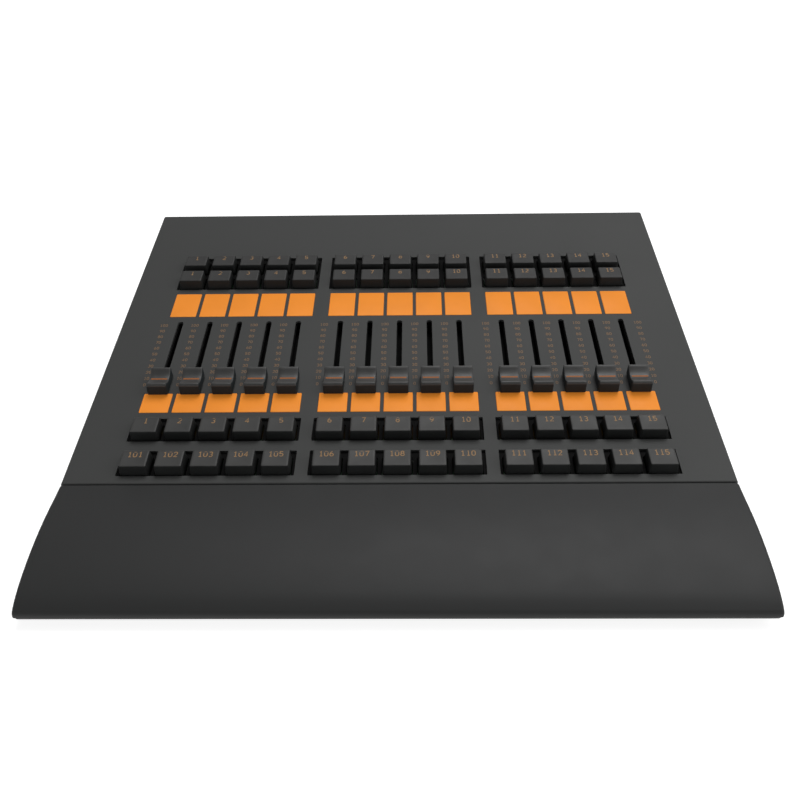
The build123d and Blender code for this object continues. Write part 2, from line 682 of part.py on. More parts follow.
# countersunk M3: where each head is flush, which way it faces, and its length
SCREWS = [((x, y, SIDE_SCREW_Z), (0, 1, 0), (1 if x > 0 else -1, 0, 0), 6.0) for x in (-HALF, HALF) for y in SIDE_SCREWS_Y]
SCREWS += [((x, y, BASE_Z0), (1, 0, 0), (0, 0, -1), 8.0) for x, y in BASE_SCREWS]
with BuildPart() as case_screws:
    for origin, x_dir, z_dir, length in SCREWS:
        place = Plane(origin=origin, x_dir=x_dir, z_dir=z_dir)
        along = Plane(origin=origin, x_dir=x_dir, z_dir=place.x_dir.cross(place.z_dir))
        with BuildSketch(along):
            with BuildLine():
                Polyline(
                    (0, -0.12),
                    (2.78, -0.12),
                    (1.42, -1.48),
                    (1.42, -length),
                    (0, -length),
                    close=True,
                )
            make_face()
        revolve(axis=Axis(origin, z_dir))
        with BuildSketch(place.offset(-0.12)):
            Rectangle(2.9, 0.6)
            Rectangle(0.6, 2.9)
        extrude(amount=-0.7, mode=Mode.SUBTRACT)
case_screws.part.label = "case_screws"
export_step(case_screws.part, "parts/case_screws.step")
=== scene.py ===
import math

import bmesh
import bpy
from mathutils import Matrix, Vector


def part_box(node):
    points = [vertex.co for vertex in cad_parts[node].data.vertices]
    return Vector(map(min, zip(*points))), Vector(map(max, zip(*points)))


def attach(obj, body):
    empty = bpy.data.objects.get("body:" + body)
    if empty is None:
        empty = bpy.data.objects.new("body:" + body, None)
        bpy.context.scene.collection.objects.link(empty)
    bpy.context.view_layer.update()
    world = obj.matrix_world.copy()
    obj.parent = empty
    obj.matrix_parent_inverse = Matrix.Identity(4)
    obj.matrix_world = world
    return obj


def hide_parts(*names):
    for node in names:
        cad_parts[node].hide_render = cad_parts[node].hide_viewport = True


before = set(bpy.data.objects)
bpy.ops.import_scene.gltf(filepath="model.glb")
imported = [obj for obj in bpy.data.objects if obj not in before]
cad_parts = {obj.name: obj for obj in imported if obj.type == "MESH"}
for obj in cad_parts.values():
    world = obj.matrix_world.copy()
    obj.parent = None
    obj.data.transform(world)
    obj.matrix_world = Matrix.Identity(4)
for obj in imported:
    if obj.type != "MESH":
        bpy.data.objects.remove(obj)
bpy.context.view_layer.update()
scene = bpy.context.scene

MM = 0.001
TILT = math.radians(9.0)
C, S = math.cos(TILT), math.sin(TILT)
SEAM_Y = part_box("palm_rest")[1].y + 0.25 * MM
SEAM_Z = 24.0 * MM
U_AX = Vector((1, 0, 0))
V_AX = Vector((0, C, S))
N_AX = Vector((0, -S, C))
ORIGIN = Vector((0, SEAM_Y, SEAM_Z))

GROUP_PITCH, PITCH = 108.5, 20.0
CHANNELS = [(g - 1) * GROUP_PITCH + (k - 2) * PITCH for g in range(3) for k in range(5)]
KEY_ROWS = {"a": 211.4, "b": 192.4, "c": 41.2, "d": 13.9}
UPPER_WIN, LOWER_WIN, WIN_W = (152.4, 178.5), (57.5, 74.6), 17.9
FADER_V = 81.5


def P(u, v, n=0.0):
    """A point of the control panel's own frame (mm) in the row frame (m)."""
    return ORIGIN + U_AX * (u * MM) + V_AX * (v * MM) + N_AX * (n * MM)


# ------------------------------------------------------------------ camera
def make_camera():
    phi, yaw, roll = math.radians(42.889), math.radians(-1.435), math.radians(1.301)
    dist, tx, ty = 366.3, -2.72, 326.64
    c, s = math.cos(yaw), math.sin(yaw)
    U = U_AX * c - V_AX * s
    V = U_AX * s + V_AX * c
    right0, up0 = U, V * math.sin(phi) + N_AX * math.cos(phi)
    forward = V * math.cos(phi) - N_AX * math.sin(phi)
    right = right0 * math.cos(roll) - up0 * math.sin(roll)
    up = right0 * math.sin(roll) + up0 * math.cos(roll)
    at = ORIGIN + (N_AX * dist - U * tx - V * ty) * MM
    data = bpy.data.cameras.new("camera")
    data.sensor_width = 36.0
    data.lens = 881.0 / 800.0 * 36.0
    data.clip_start, data.clip_end = 0.01, 50.0
    cam = bpy.data.objects.new("camera", data)
    scene.collection.objects.link(cam)
    m = Matrix.Identity(4)
    for i in range(3):
        m[i][0], m[i][1], m[i][2], m[i][3] = right[i], up[i], -forward[i], at[i]
    cam.matrix_world = m
    scene.camera = cam
    return cam


camera = make_camera()
scene.view_settings.view_transform = "Standard"
scene.view_settings.look = "None"
scene.view_settings.exposure = 0.0
scene.view_settings.gamma = 1.0


# ------------------------------------------------------------------ materials
def srgb(r, g, b):
    return tuple(
        (x / 255 / 12.92) if x / 255 <= 0.04045 else ((x / 255 + 0.055) / 1.055) ** 2.4
        for x in (r, g, b)
    ) + (1.0,)


class Tree:
    """A material's node tree, with short calls for the nodes used here."""

    def __init__(self, name):
        self.m = bpy.data.materials.new(name)
        self.m.use_nodes = True
        self.t = self.m.node_tree
        self.bsdf = self.t.nodes["Principled BSDF"]
        self.coord = self.t.nodes.new("ShaderNodeTexCoord").outputs["Object"]

    def link(self, a, b):
        self.t.links.new(a, b)

    def scaled(self, x, y, z):
        n = self.t.nodes.new("ShaderNodeMapping")
        n.inputs["Scale"].default_value = (x, y, z)
        self.link(self.coord, n.inputs["Vector"])
        return n.outputs["Vector"]

    def noise(self, scale, detail=3.0, rough=0.55, vector=None, distortion=0.0):
        n = self.t.nodes.new("ShaderNodeTexNoise")
        n.inputs["Scale"].default_value = scale
        n.inputs["Detail"].default_value = detail
        n.inputs["Roughness"].default_value = rough
        n.inputs["Distortion"].default_value = distortion
        self.link(vector or self.coord, n.inputs["Vector"])
        return n.outputs["Fac"]

    def voronoi(self, scale, feature="F1", smooth=None, vector=None):
        n = self.t.nodes.new("ShaderNodeTexVoronoi")
        n.feature = feature
        n.inputs["Scale"].default_value = scale
        self.link(vector or self.coord, n.inputs["Vector"])
        return n.outputs["Distance"]

    def ramp(self, fac, stops):
        n = self.t.nodes.new("ShaderNodeValToRGB")
        e = n.color_ramp.elements
        while len(e) < len(stops):
            e.new(0.5)
        for el, (pos, col) in zip(e, stops):
            el.position, el.color = pos, col
        self.link(fac, n.inputs["Fac"])
        return n.outputs["Color"]

    def mapped(self, fac, a, b, lo=0.3, hi=0.7):
        n = self.t.nodes.new("ShaderNodeMapRange")
        n.inputs["From Min"].default_value, n.inputs["From Max"].default_value = lo, hi
        n.inputs["To Min"].default_value, n.inputs["To Max"].default_value = a, b
        self.link(fac, n.inputs["Value"])
        return n.outputs["Result"]

    def math(self, op, a, b):
        n = self.t.nodes.new("ShaderNodeMath")
        n.operation = op
        for i, x in enumerate((a, b)):
            if isinstance(x, (int, float)):
                n.inputs[i].default_value = x
            else:
                self.link(x, n.inputs[i])
        return n.outputs[0]

    def bump(self, *layers):
        """layers are (height, strength, distance in mm)."""
        normal = None
        for height, strength, mm in layers:
            n = self.t.nodes.new("ShaderNodeBump")
            n.inputs["Strength"].default_value = strength
            n.inputs["Distance"].default_value = mm * MM
            self.link(height, n.inputs["Height"])
            if normal is not None:
                self.link(normal, n.inputs["Normal"])
            normal = n.outputs["Normal"]
        self.link(normal, self.bsdf.inputs["Normal"])

    def set(self, **values):
        names = {
            "color": "Base Color",
            "rough": "Roughness",
            "metal": "Metallic",
            "spec": "Specular IOR Level",
            "coat": "Coat Weight",
            "coat_rough": "Coat Roughness",
            "emit": "Emission Color",
            "emit_strength": "Emission Strength",
            "ior": "IOR",
        }
        for k, v in values.items():
            socket = self.bsdf.inputs[names[k]]
            if isinstance(v, bpy.types.NodeSocket):
                self.link(v, socket)
            else:
                socket.default_value = v
        return self


def tone(c, f):
    return (c[0] * f, c[1] * f, c[2] * f, 1.0)


def powder_coat(name, col, rough=0.55, spec=0.35):
    t = Tree(name)
    patch = t.noise(9.0, 4.0, 0.6)
    speck = t.noise(1500.0, 2.0, 0.6)
    both = t.math("ADD", t.math("MULTIPLY", patch, 0.35), t.math("MULTIPLY", speck, 0.65))
    t.set(
        color=t.ramp(both, [(0.30, tone(col, 0.95)), (0.5, tone(col, 1.0)), (0.72, tone(col, 1.05))]),
        rough=t.mapped(patch, rough - 0.03, rough + 0.04),
        spec=spec,
    )
    t.bump((t.noise(1300.0, 3.0, 0.6), 0.35, 0.06), (t.noise(320.0, 2.0, 0.5), 0.12, 0.05))
    return t.m


def soft_plastic(name, col, rough=0.5, spec=0.35, grain=750.0):
    """Moulded plastic with a fine leathery grain."""
    t = Tree(name)
    cell = t.voronoi(grain, "SMOOTH_F1")
    patch = t.noise(14.0, 4.0, 0.6)
    t.set(
        color=t.ramp(patch, [(0.3, tone(col, 0.985)), (0.52, tone(col, 1.0)), (0.75, tone(col, 1.015))]),
        rough=t.mapped(t.noise(60.0, 3.0), rough - 0.02, rough + 0.02),
        spec=spec,
    )
    t.bump((cell, 0.22, 0.06))
    return t.m


def fine_plastic(name, col, rough=0.45, spec=0.4, grain=2600.0, bump=0.2):
    t = Tree(name)
    n = t.noise(grain, 2.0, 0.5)
    patch = t.noise(70.0, 3.0, 0.6)
    t.set(
        color=t.ramp(patch, [(0.3, tone(col, 0.92)), (0.7, tone(col, 1.08))]),
        rough=t.mapped(patch, rough - 0.06, rough + 0.08),
        spec=spec,
    )
    t.bump((n, bump, 0.03))
    return t.m


def lens(name, col, glow, strength):
    """A backlit label window: the light guide shows through as a very slight unevenness."""
    t = Tree(name)
    patch = t.noise(45.0, 2.0, 0.5)
    t.set(
        color=t.ramp(patch, [(0.3, tone(col, 0.97)), (0.7, tone(col, 1.03))]),
        rough=t.mapped(t.noise(220.0, 2.0), 0.30, 0.42),
        spec=0.06,
        emit=t.ramp(patch, [(0.3, tone(glow, 0.96)), (0.7, tone(glow, 1.04))]),
        emit_strength=strength,
    )
    t.bump((t.noise(1800.0, 2.0), 0.08, 0.02))
    return t.m


def ink(name, col, strength=0.0):
    t = Tree(name)
    n = t.noise(2400.0, 2.0, 0.6)
    t.set(
        color=t.ramp(n, [(0.3, tone(col, 0.85)), (0.7, tone(col, 1.1))]),
        rough=t.mapped(n, 0.5, 0.65),
        spec=0.2,
    )
    if strength:
        t.set(emit=tone(col, 1.0), emit_strength=strength)
    return t.m


def steel(name, col, rough=0.35, brushed=(1.0, 60.0, 1.0)):
    t = Tree(name)
    n = t.noise(40.0, 4.0, 0.6, vector=t.scaled(*brushed))
    t.set(
        color=t.ramp(n, [(0.3, tone(col, 0.85)), (0.7, tone(col, 1.1))]),
        rough=t.mapped(n, rough - 0.08, rough + 0.1),
        metal=1.0,
    )
    t.bump((n, 0.08, 0.03))
    return t.m


def rubber(name, col):
    t = Tree(name)
    n = t.noise(900.0, 3.0, 0.6)
    t.set(
        color=t.ramp(n, [(0.3, tone(col, 0.8)), (0.7, tone(col, 1.2))]),
        rough=t.mapped(t.noise(60.0), 0.72, 0.88),
        spec=0.25,
    )
    t.bump((n, 0.3, 0.08))
    return t.m


def board(name, col):
    t = Tree(name)
    cells = t.voronoi(260.0, "DISTANCE_TO_EDGE")
    t.set(
        color=t.ramp(cells, [(0.0, tone(col, 1.7)), (0.06, tone(col, 1.0)), (1.0, tone(col, 0.9))]),
        rough=t.mapped(t.noise(150.0), 0.3, 0.45),
        spec=0.5,
    )
    t.bump((cells, 0.1, 0.05))
    return t.m


M = {
    "cover": powder_coat("cover_paint", (0.0515, 0.0528, 0.0517), spec=0.2),
    "palm": soft_plastic("palm_plastic", (0.0288, 0.0293, 0.0293), rough=0.5, spec=0.2),
    "plate": powder_coat("steel_plate", (0.055, 0.055, 0.055), rough=0.5),
    "key_top": fine_plastic("key_top", (0.0405, 0.0405, 0.0393), rough=0.5, spec=0.3),
    # darker copy of the key top for the two rear rows: painted shade on their tops
    "key_top_rear_painted_shade": fine_plastic("key_top_rear_painted_shade", (0.030, 0.030, 0.0295), rough=0.55, spec=0.3),
    # near-black copy of the key plastic for the keys' sides, fronts and skirts: painted shade
    "key_side_painted_shade": fine_plastic("key_side_painted_shade", (0.0225, 0.0235, 0.0232), rough=0.5, spec=0.1),
    "bezel": fine_plastic("bezel_plastic", (0.005, 0.005, 0.005), rough=0.6, spec=0.03),
    "black": fine_plastic("black_plastic", (0.006, 0.006, 0.006), rough=0.5, spec=0.25),
    "knob_top": fine_plastic("knob_top", (0.045, 0.045, 0.044), rough=0.45),
    # darker, slightly cool copy of the knob plastic for the knob's sides, ends and front: painted shade
    "knob_side_painted_shade": fine_plastic("knob_side_painted_shade", (0.0225, 0.0285, 0.031), rough=0.5, spec=0.1),
    "amber": lens("amber_lens", (0.72, 0.235, 0.035), (1.0, 0.32, 0.03), 0.25),
    "guide": fine_plastic("light_guide", (0.8, 0.8, 0.76), rough=0.4),
    "legend": ink("amber_ink", (0.315, 0.187, 0.086)),
    "scale": ink("scale_ink", (0.24, 0.145, 0.08)),
    "line": ink("line_ink", (0.33, 0.115, 0.033)),
    "steel": steel("bare_steel", (0.55, 0.55, 0.55)),
    "screw": steel("screw_steel", (0.06, 0.06, 0.062), rough=0.4, brushed=(1.0, 1.0, 1.0)),
    "brass": steel("pillar_brass", (0.6, 0.5, 0.3)),
    "contact": steel("contact_metal", (0.6, 0.58, 0.52), rough=0.3),
    "gilt": steel("gilt_contact", (0.75, 0.5, 0.18), rough=0.3),
    "white": ink("white_ink", (0.6, 0.6, 0.58)),
    "rubber": rubber("foot_rubber", (0.012, 0.012, 0.012)),
    "board": board("circuit_board", (0.012, 0.07, 0.025)),
    "ribbon": fine_plastic("ribbon", (0.3, 0.3, 0.31), rough=0.5),
}


# ------------------------------------------------------------------ mesh helpers
def new_object(name, verts, faces, materials, mat_index=None, sharp=35.0):
    me = bpy.data.meshes.new(name)
    me.from_pydata([tuple(v) for v in verts], [], faces)
    for m in materials:
        me.materials.append(m)
    if mat_index is not None:
        me.polygons.foreach_set("material_index", mat_index)
    me.polygons.foreach_set("use_smooth", [True] * len(me.polygons))
    me.update()
    me.set_sharp_from_angle(angle=math.radians(sharp))
    o = bpy.data.objects.new(name, me)
    scene.collection.objects.link(o)
    return o


def rounded_ring(w, l, r, seg=6):
    """Points (u, v) of a rounded rectangle, going round once."""
    pts = []
    r = min(r, w / 2 - 1e-4, l / 2 - 1e-4)
    for cx, cy, a0 in ((1, 1, 0), (-1, 1, 90), (-1, -1, 180), (1, -1, 270)):
        for i in range(seg + 1):
            a = math.radians(a0 + 90.0 * i / seg)
            pts.append((cx * (w / 2 - r) + r * math.cos(a), cy * (l / 2 - r) + r * math.sin(a)))
    return pts


class Piece:
    """Vertices, faces and materials collected for one object, in panel coordinates."""

    def __init__(self):
        self.v, self.f, self.m = [], [], []

    def ring(self, pts, n):
        base = len(self.v)
        for u, v, *rest in pts:
            self.v.append(P(u, v, rest[0] if rest else n))
        return list(range(base, base + len(pts)))

    def bridge(self, a, b, mat):
        k = len(a)
        for i in range(k):
            j = (i + 1) % k
            self.f.append((a[i], a[j], b[j], b[i]))
            self.m.append(mat)

    def fan(self, a, centre, mat, up=True):
        base = len(self.v)
        self.v.append(centre)
        k = len(a)
        for i in range(k):
            j = (i + 1) % k
            self.f.append((a[i], a[j], base) if up else (a[j], a[i], base))
            self.m.append(mat)

    def cap(self, a, mat, up=True):
        self.f.append(tuple(a) if up else tuple(reversed(a)))
        self.m.append(mat)

    def build(self, name, materials, sharp=35.0):
        return new_object(name, self.v, self.f, materials, self.m, sharp)


# ------------------------------------------------------------------ numerals, as thin raised ink
def bow(cx, cy, r, a0, a1, n=12):
    return [
        (cx + r * math.cos(math.radians(a0 + (a1 - a0) * i / n)), cy + r * math.sin(math.radians(a0 + (a1 - a0) * i / n)))
        for i in range(n + 1)
    ]


# the middle lines of each digit's strokes in a box one unit high, and whether each closes on itself
DIGITS = {
    "0": [(bow(0, 0.19, 0.24, 0, 180) + bow(0, -0.19, 0.24, 180, 360), True)],
    "1": [([(-0.15, 0.26), (0.04, 0.43), (0.04, -0.43)], False), ([(-0.14, -0.43), (0.22, -0.43)], False)],
    "2": [(bow(0, 0.19, 0.24, 170, -25) + [(-0.24, -0.43), (0.26, -0.43)], False)],
    "3": [(bow(0, 0.215, 0.215, 150, -90, 10) + bow(0, -0.215, 0.235, 90, -150, 12)[1:], False)],
    "4": [([(0.12, -0.43), (0.12, 0.43), (-0.26, -0.18), (0.27, -0.18)], False)],
    "5": [([(0.22, 0.43), (-0.18, 0.43), (-0.20, 0.05)] + bow(0, -0.17, 0.25, 115, -150, 12), False)],
    "6": [(bow(0, -0.19, 0.24, 90, 450, 18)[:-1], True), ([(-0.235, -0.14), (-0.19, 0.14), (0.08, 0.43)], False)],
    "7": [([(-0.25, 0.43), (0.25, 0.43), (-0.06, -0.43)], False)],
    "8": [(bow(0, 0.22, 0.20, 90, 450, 16)[:-1], True), (bow(0, -0.20, 0.24, 90, 450, 18)[:-1], True)],
    "9": [(bow(0, 0.19, 0.24, 90, 450, 18)[:-1], True), ([(0.235, 0.14), (0.19, -0.14), (-0.08, -0.43)], False)],
}
STROKE, ADVANCE = 0.145, 0.76
_glyphs = {}


def ribbon(line, closed, half):
    """Left and right edges of a stroke drawn along a line."""
    k = len(line)
    left, right = [], []
    for i, (x, y) in enumerate(line):
        legs = []
        for a, b in ((i - 1, i), (i, i + 1)):
            if closed:
                a, b = a % k, b % k
            if 0 <= a < k and 0 <= b < k:
                dx, dy = line[b][0] - line[a][0], line[b][1] - line[a][1]
                ln = math.hypot(dx, dy)
                if ln > 1e-6:
                    legs.append((dx / ln, dy / ln))
        dx, dy = sum(q[0] for q in legs), sum(q[1] for q in legs)
        ln = math.hypot(dx, dy) or 1.0
        dx, dy = dx / ln, dy / ln
        grow = min(1.6, 1.0 / max(0.3, dx * legs[0][0] + dy * legs[0][1]))
        left.append((x - dy * half * grow, y + dx * half * grow))
        right.append((x + dy * half * grow, y - dx * half * grow))
    return left, right


def glyph(text, height):
    """Triangles of a numeral, centred, with its height as given (mm)."""
    key = (text, height)
    if key not in _glyphs:
        pts, tris = [], []
        for i, ch in enumerate(text):
            shift = (i - (len(text) - 1) / 2) * ADVANCE
            for line, closed in DIGITS[ch]:
                left, right = ribbon(line, closed, STROKE / 2)
                base, k = len(pts), len(line)
                pts += [((x + shift) * height, y * height) for x, y in left]
                pts += [((x + shift) * height, y * height) for x, y in right]
                for j in range(k if closed else k - 1):
                    n = (j + 1) % k
                    tris.append((base + k + j, base + k + n, base + n))
                    tris.append((base + k + j, base + n, base + j))
        _glyphs[key] = (pts, tris)
    return _glyphs[key]


def add_text(verts, faces, text, height, u, v, n, thick=0.045, stretch=1.0):
    """Adds a numeral lying at (u, v); n is a height or a function of the place."""
    pts, tris = glyph(text, height)
    at = (lambda a, b: n) if isinstance(n, (int, float)) else n
    low = len(verts)
    for x, y in pts:
        verts.append(P(u + x * stretch, v + y, at(x * stretch, y) - 0.03))
    high = len(verts)
    for x, y in pts:
        verts.append(P(u + x * stretch, v + y, at(x * stretch, y) + thick))
    edges = {}
    for a, b, c in tris:
        faces.append((high + a, high + b, high + c))
        for e in ((a, b), (b, c), (c, a)):
            edges[e] = edges.get(e, 0) + 1
    for (a, b) in edges:
        if (b, a) not in edges:
            faces.append((low + a, low + b, high + b, high + a))


# ------------------------------------------------------------------ keys
KEY_TOP, KEY_SKIRT = 6.5, -1.0
DRAFT = math.tan(math.radians(5.7))
DISH = 0.22


def key_dish(x, y):
    """Height of a key's top at (x, y) from its middle: a shallow cylinder-like dish."""
    a = max(0.0, 1 - (x / 7.0) ** 2) * max(0.0, 1 - (y / 5.9) ** 2)
    return KEY_TOP - DISH * a


def add_key(pc, u, v):
    def ring(n, inset=0.0, r=None):
        d = (n - KEY_SKIRT) * DRAFT + inset
        return pc.ring(
            [(u + a, v + b) for a, b in rounded_ring(16.8 - 2 * d, 14.2 - 2 * d, max(0.35, (1.6 if r is None else r) - d))],
            n,
        )

    rings = [ring(-0.9, 1.45, 0.6), ring(KEY_SKIRT + 0.0, 1.35), ring(KEY_SKIRT, 0.15), ring(KEY_SKIRT + 0.15)]
    rings += [ring(x) for x in (1.5, 4.0, 5.75)]
    for k in (1, 2, 3, 4):  # the rounded top edge
        a = math.radians(90.0 * k / 4)
        rings.append(ring(5.75 + 0.6 * math.sin(a), 0.6 * (1 - math.cos(a))))
    inner = ring(3.6, 1.6)
    deep = ring(-0.9, 1.45, 0.6)
    pc.bridge(inner, deep, 0)
    pc.cap(inner, 0, up=False)
    # the sides and skirt take slot 0, the dark key side copy, and the rounded top edge and dish the crown colour:
    # painted shade on the sides
    for a, b in zip(rings[:-1], rings[1:]):
        top = rings.index(b) >= len(rings) - 2
        pc.bridge(a, b, 1 if top else 0)
    # the dished top: rings shrinking to the middle
    d = (5.75 - KEY_SKIRT + 0.6) * DRAFT + 0.6
    w, l = 16.8 - 2 * d, 14.2 - 2 * d
    last = rings[-1]
    for f in (0.96, 0.85, 0.68, 0.48, 0.26):
        pts = [(a * f, b * f) for a, b in rounded_ring(w, l, 0.6)]
        lift = [(u + a, v + b, key_dish(a, b) - (0.13 if f > 0.9 else 0.15) + 0.02) for a, b in pts]
        nxt = pc.ring(lift, 0)
        pc.bridge(last, nxt, 1)
        last = nxt
    pc.fan(last, P(u, v, key_dish(0, 0) - 0.13), 1)
    # stem to the switch
    s0 = pc.ring([(u + 1.9 * math.cos(t * math.pi / 8), v + 1.9 * math.sin(t * math.pi / 8)) for t in range(16)], 4.0)
    s1 = pc.ring([(u + 1.9 * math.cos(t * math.pi / 8), v + 1.9 * math.sin(t * math.pi / 8)) for t in range(16)], -5.8)
    s2 = pc.ring([(u + 1.6 * math.cos(t * math.pi / 8), v + 1.6 * math.sin(t * math.pi / 8)) for t in range(16)], -6.0)
    pc.bridge(s1, s0, 0)
    pc.bridge(s2, s1, 0)
    pc.cap(s2, 0, up=False)
    pc.cap(s0, 0)


def make_keys(node, members, v, labels, stretch, crown):
    pc = Piece()
    for u in members:
        add_key(pc, u, v)
    o = pc.build("caps_" + node, [M["key_side_painted_shade"], M[crown]], sharp=50.0)
    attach(o, node)
    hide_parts(node)
    verts, faces = [], []
    for u, label in zip(members, labels):
        add_text(
            verts, faces, label, 4.0, u, v + 2.9,
            lambda x, y: key_dish(x, y + 2.9) - 0.13, stretch=stretch,
        )
    t = new_object("numbers_" + node, verts, faces, [M["legend"]], sharp=30.0)
    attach(t, node)


for row, v in KEY_ROWS.items():
    for g in range(3):
        members = CHANNELS[g * 5 : g * 5 + 5]
        numbers = [g * 5 + k + 1 for k in range(5)]
        if row == "c":
            for u, number in zip(members, numbers):
                make_keys(f"flash_key_{number:02d}", [u], v, [str(number)], 1.0, "key_top")
        else:
            name = {"a": "upper_rear", "b": "lower_rear", "d": "front"}[row]
            labels = [str(x + 100 if row == "d" else x) for x in numbers]
            # the two rear rows take the darker key top copy: painted shade
            make_keys(
                f"{name}_keys_{('left', 'middle', 'right')[g]}", members, v, labels,
                1.0, "key_top" if row == "d" else "key_top_rear_painted_shade",
            )


# ------------------------------------------------------------------ fader knobs
def knob_profile():
    """(v, n) down the knob's side: up the front, over the lips and the saddle, down the back."""
    pts = [(-9.0, 1.2), (-8.95, 1.6), (-8.62, 6.9)]
    for k in range(6):  # rounded front lip
        a = math.radians(90 * k / 6)
        pts.append((-6.9 - 1.68 * math.cos(a), 7.2 + 1.68 * math.sin(a)))
    for k in range(13):  # saddle
        x = -6.6 + 13.5 * k / 12
        pts.append((x, 6.15 + 2.8 * (x / 6.9) ** 2))
    for k in range(1, 5):
        a = math.radians(90 - 80 * k / 5)
        pts.append((7.35 + 0.95 * math.cos(a), 8.0 + 0.95 * math.sin(a)))
    pts += [(8.3, 7.6), (8.95, 1.6), (9.0, 1.2)]
    return pts


def make_fader(i, u):
    node = f"fader_{i:02d}"
    pts = knob_profile()
    pc = Piece()
    half, r = 12.3 / 2, 0.6
    # columns across the knob: the two ends are rounded over by r
    cols = [(-half, r)] + [
        (-half + r - r * math.cos(math.radians(a)), r - r * math.sin(math.radians(a))) for a in (30, 60, 90)
    ]
    cols += [(-half * 0.5, 0), (0, 0), (half * 0.5, 0)]
    cols += [(-x, d) for x, d in reversed(cols[:4])]
    grid = []
    count = len(pts)
    for x, d in cols:
        line = []
        for k, (a, b) in enumerate(pts):
            # inset towards the knob's middle along the profile's normal
            p0, p1 = pts[max(0, k - 1)], pts[min(count - 1, k + 1)]
            tx, ty = p1[0] - p0[0], p1[1] - p0[1]
            ln = math.hypot(tx, ty)
            nx, ny = -ty / ln, tx / ln
            if k in (0, count - 1):
                nx, ny = (-1 if k == 0 else 1), 0
            line.append((a - nx * d, b - ny * d))
        grid.append(line)
    base = []
    for (x, d), line in zip(cols, grid):
        base.append(pc.ring([(u + x, FADER_V + a, b) for a, b in line], 0))
    # the saddle and lips take the lighter knob top, also down the front lip's rounded face as a painted highlight; the
    # sides, end strips and front take the dark copy as painted shade
    for c in range(len(cols) - 1):
        for k in range(count - 1):
            mid = (pts[k][0] + pts[k + 1][0]) / 2
            top = mid < 8.0 and min(pts[k][1], pts[k + 1][1]) > 6.0 and k > 2
            side_strip = c in (0,) or c == len(cols) - 2
            pc.f.append((base[c][k], base[c + 1][k], base[c + 1][k + 1], base[c][k + 1]))
            pc.m.append(1 if (top and not side_strip) else 0)
    # closed ends and a flat underside
    for c, flip in ((0, False), (len(cols) - 1, True)):
        face = list(base[c])
        pc.f.append(tuple(face if not flip else reversed(face)))
        pc.m.append(0)
    o1 = [base[c][0] for c in range(len(cols))]
    o2 = [base[c][count - 1] for c in range(len(cols))]
    rim = o1 + list(reversed(o2))
    pc.f.append(tuple(rim))
    pc.m.append(0)
    o = pc.build("knob_" + node, [M["knob_side_painted_shade"], M["knob_top"]], sharp=40.0)
    bm = bmesh.new()
    bm.from_mesh(o.data)
    bmesh.ops.recalc_face_normals(bm, faces=bm.faces)
    bm.to_mesh(o.data)
    bm.free()
    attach(o, node)
    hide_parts(node)
    # the pointer line, let into the saddle
    verts, faces = [], []
    rows = [(-0.62 + 1.24 * k / 6) for k in range(7)]
    for s_, n_off in ((-1, 0), (1, 0)):
        for a in rows:
            verts.append(P(u + s_ * 5.0, FADER_V + a, 6.15 + 2.8 * (a / 6.9) ** 2 + 0.05))
    for s_ in (-1, 1):
        for a in rows:
            verts.append(P(u + s_ * 5.0, FADER_V + a, 6.15 + 2.8 * (a / 6.9) ** 2 - 0.1))
    for k in range(6):
        faces.append((k, 7 + k, 8 + k, k + 1))
        faces.append((14 + k, 15 + k, 22 + k, 21 + k))
        faces.append((k, k + 1, 15 + k, 14 + k))
        faces.append((7 + k, 21 + k, 22 + k, 8 + k))
    faces.append((0, 14, 21, 7))
    faces.append((6, 13, 27, 20))
    ln = new_object("pointer_" + node, verts, faces, [M["line"]], sharp=30.0)
    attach(ln, node)
    # lever blade and carriage
    lv = Piece()
    for w, l, n0, n1, e in ((1.2, 4.4, -4.9, 4.2, 0.15), (6.0, 6.0, -9.0, -4.8, 0.4)):
        rr = [
            lv.ring([(u + a, FADER_V + b) for a, b in rounded_ring(w - 2 * q, l - 2 * q, 0.25, 2)], n)
            for n, q in ((n0, e), (n0 + e, 0), (n1 - e, 0), (n1, e))
        ]
        lv.cap(rr[0], 0, up=False)
        for a, b in zip(rr[:-1], rr[1:]):
            lv.bridge(a, b, 0)
        lv.cap(rr[-1], 0)
    le = lv.build("lever_" + node, [M["steel"]])
    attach(le, node)


for i, u in enumerate(CHANNELS):
    make_fader(i + 1, u)


# ------------------------------------------------------------------ label windows
def make_windows(node, v0, v1):
    pc = Piece()
    mid = (v0 + v1) / 2
    for u in CHANNELS:
        w, l = WIN_W - 0.3, v1 - v0 - 0.3

        def ring(n, q, ww=w, ll=l, r=0.5):
            return pc.ring([(u + a, mid + b) for a, b in rounded_ring(ww - 2 * q, ll - 2 * q, max(0.1, r - q * 0.5), 3)], n)

        rr = [ring(-3.0, 0, w + 1.8, l + 2.1), ring(-1.65, 0, w + 1.8, l + 2.1), ring(-1.6, 0), ring(0.05, 0)]
        for k in (1, 2, 3):
            a = math.radians(30 * k)
            rr.append(ring(0.05 + 0.2 * math.sin(a), 0.2 * (1 - math.cos(a))))
        pc.cap(rr[0], 0, up=False)
        for a, b in zip(rr[:-1], rr[1:]):
            pc.bridge(a, b, 0)
        pc.cap(rr[-1], 0)
    o = pc.build("lenses_" + node, [M["amber"]], sharp=40.0)
    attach(o, "desk")
    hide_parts(node)


make_windows("upper_label_windows", *UPPER_WIN)
make_windows("lower_label_windows", *LOWER_WIN)


